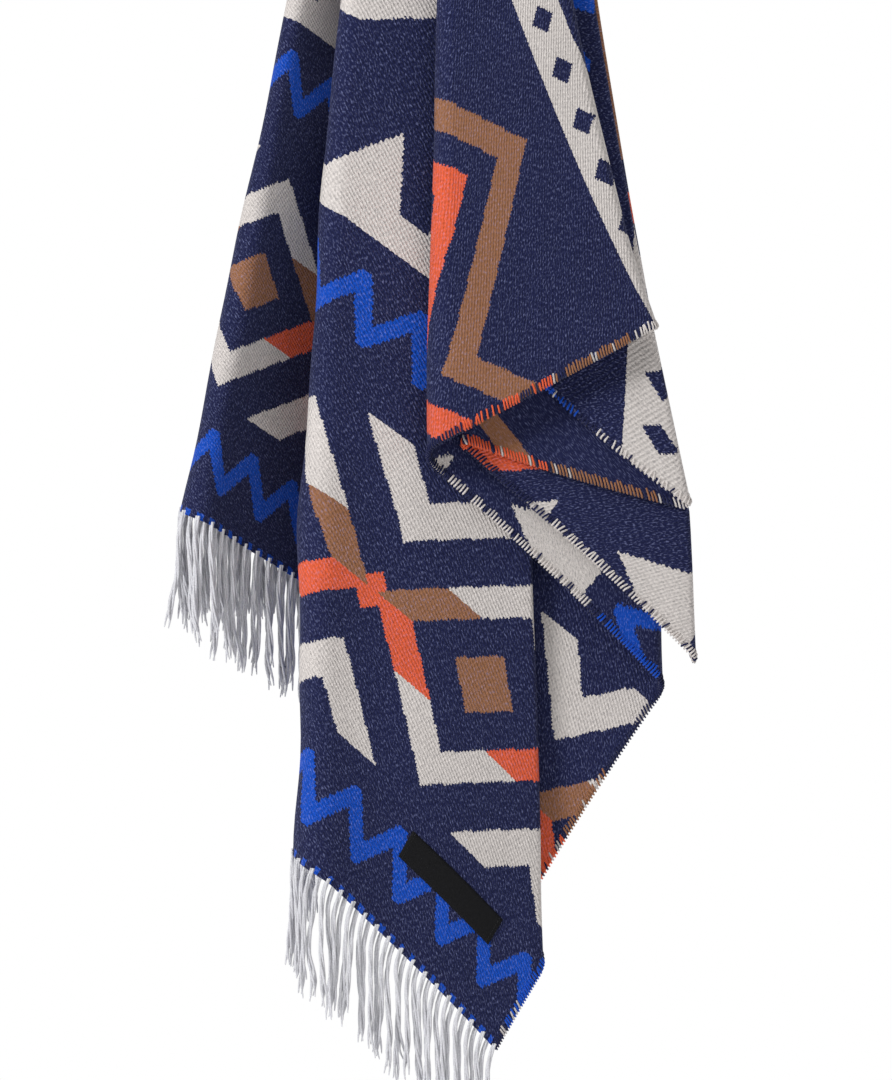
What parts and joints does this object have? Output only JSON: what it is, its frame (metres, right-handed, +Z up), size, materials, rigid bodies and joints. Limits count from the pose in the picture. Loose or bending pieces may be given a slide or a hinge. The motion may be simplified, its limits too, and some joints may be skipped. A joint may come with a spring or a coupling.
{
  "type": "throw blanket",
  "caption": "Woven throw blanket lifted at its middle and hanging in deep uneven folds, with fringed ends, overlocked sides and a sewn label.",
  "frame": {"origin": "crown of the gather, the point from which the cloth hangs", "axes": "+Z up, -Y towards the viewer of the picture, +X to that viewer's right"},
  "size_m": [0.3891, 0.2953, 1.3486],
  "materials": {
    "cloth": "double-faced woven cloth, matte, with a multicoloured band pattern",
    "fringe": "loose pale grey yarn",
    "label": "black satin ribbon, left bare"
  },
  "bodies": {
    "root": {"cloth": "cloth", "fringe_near": "fringe", "fringe_far": "fringe", "label": "label"}
  },
  "joints": []
}
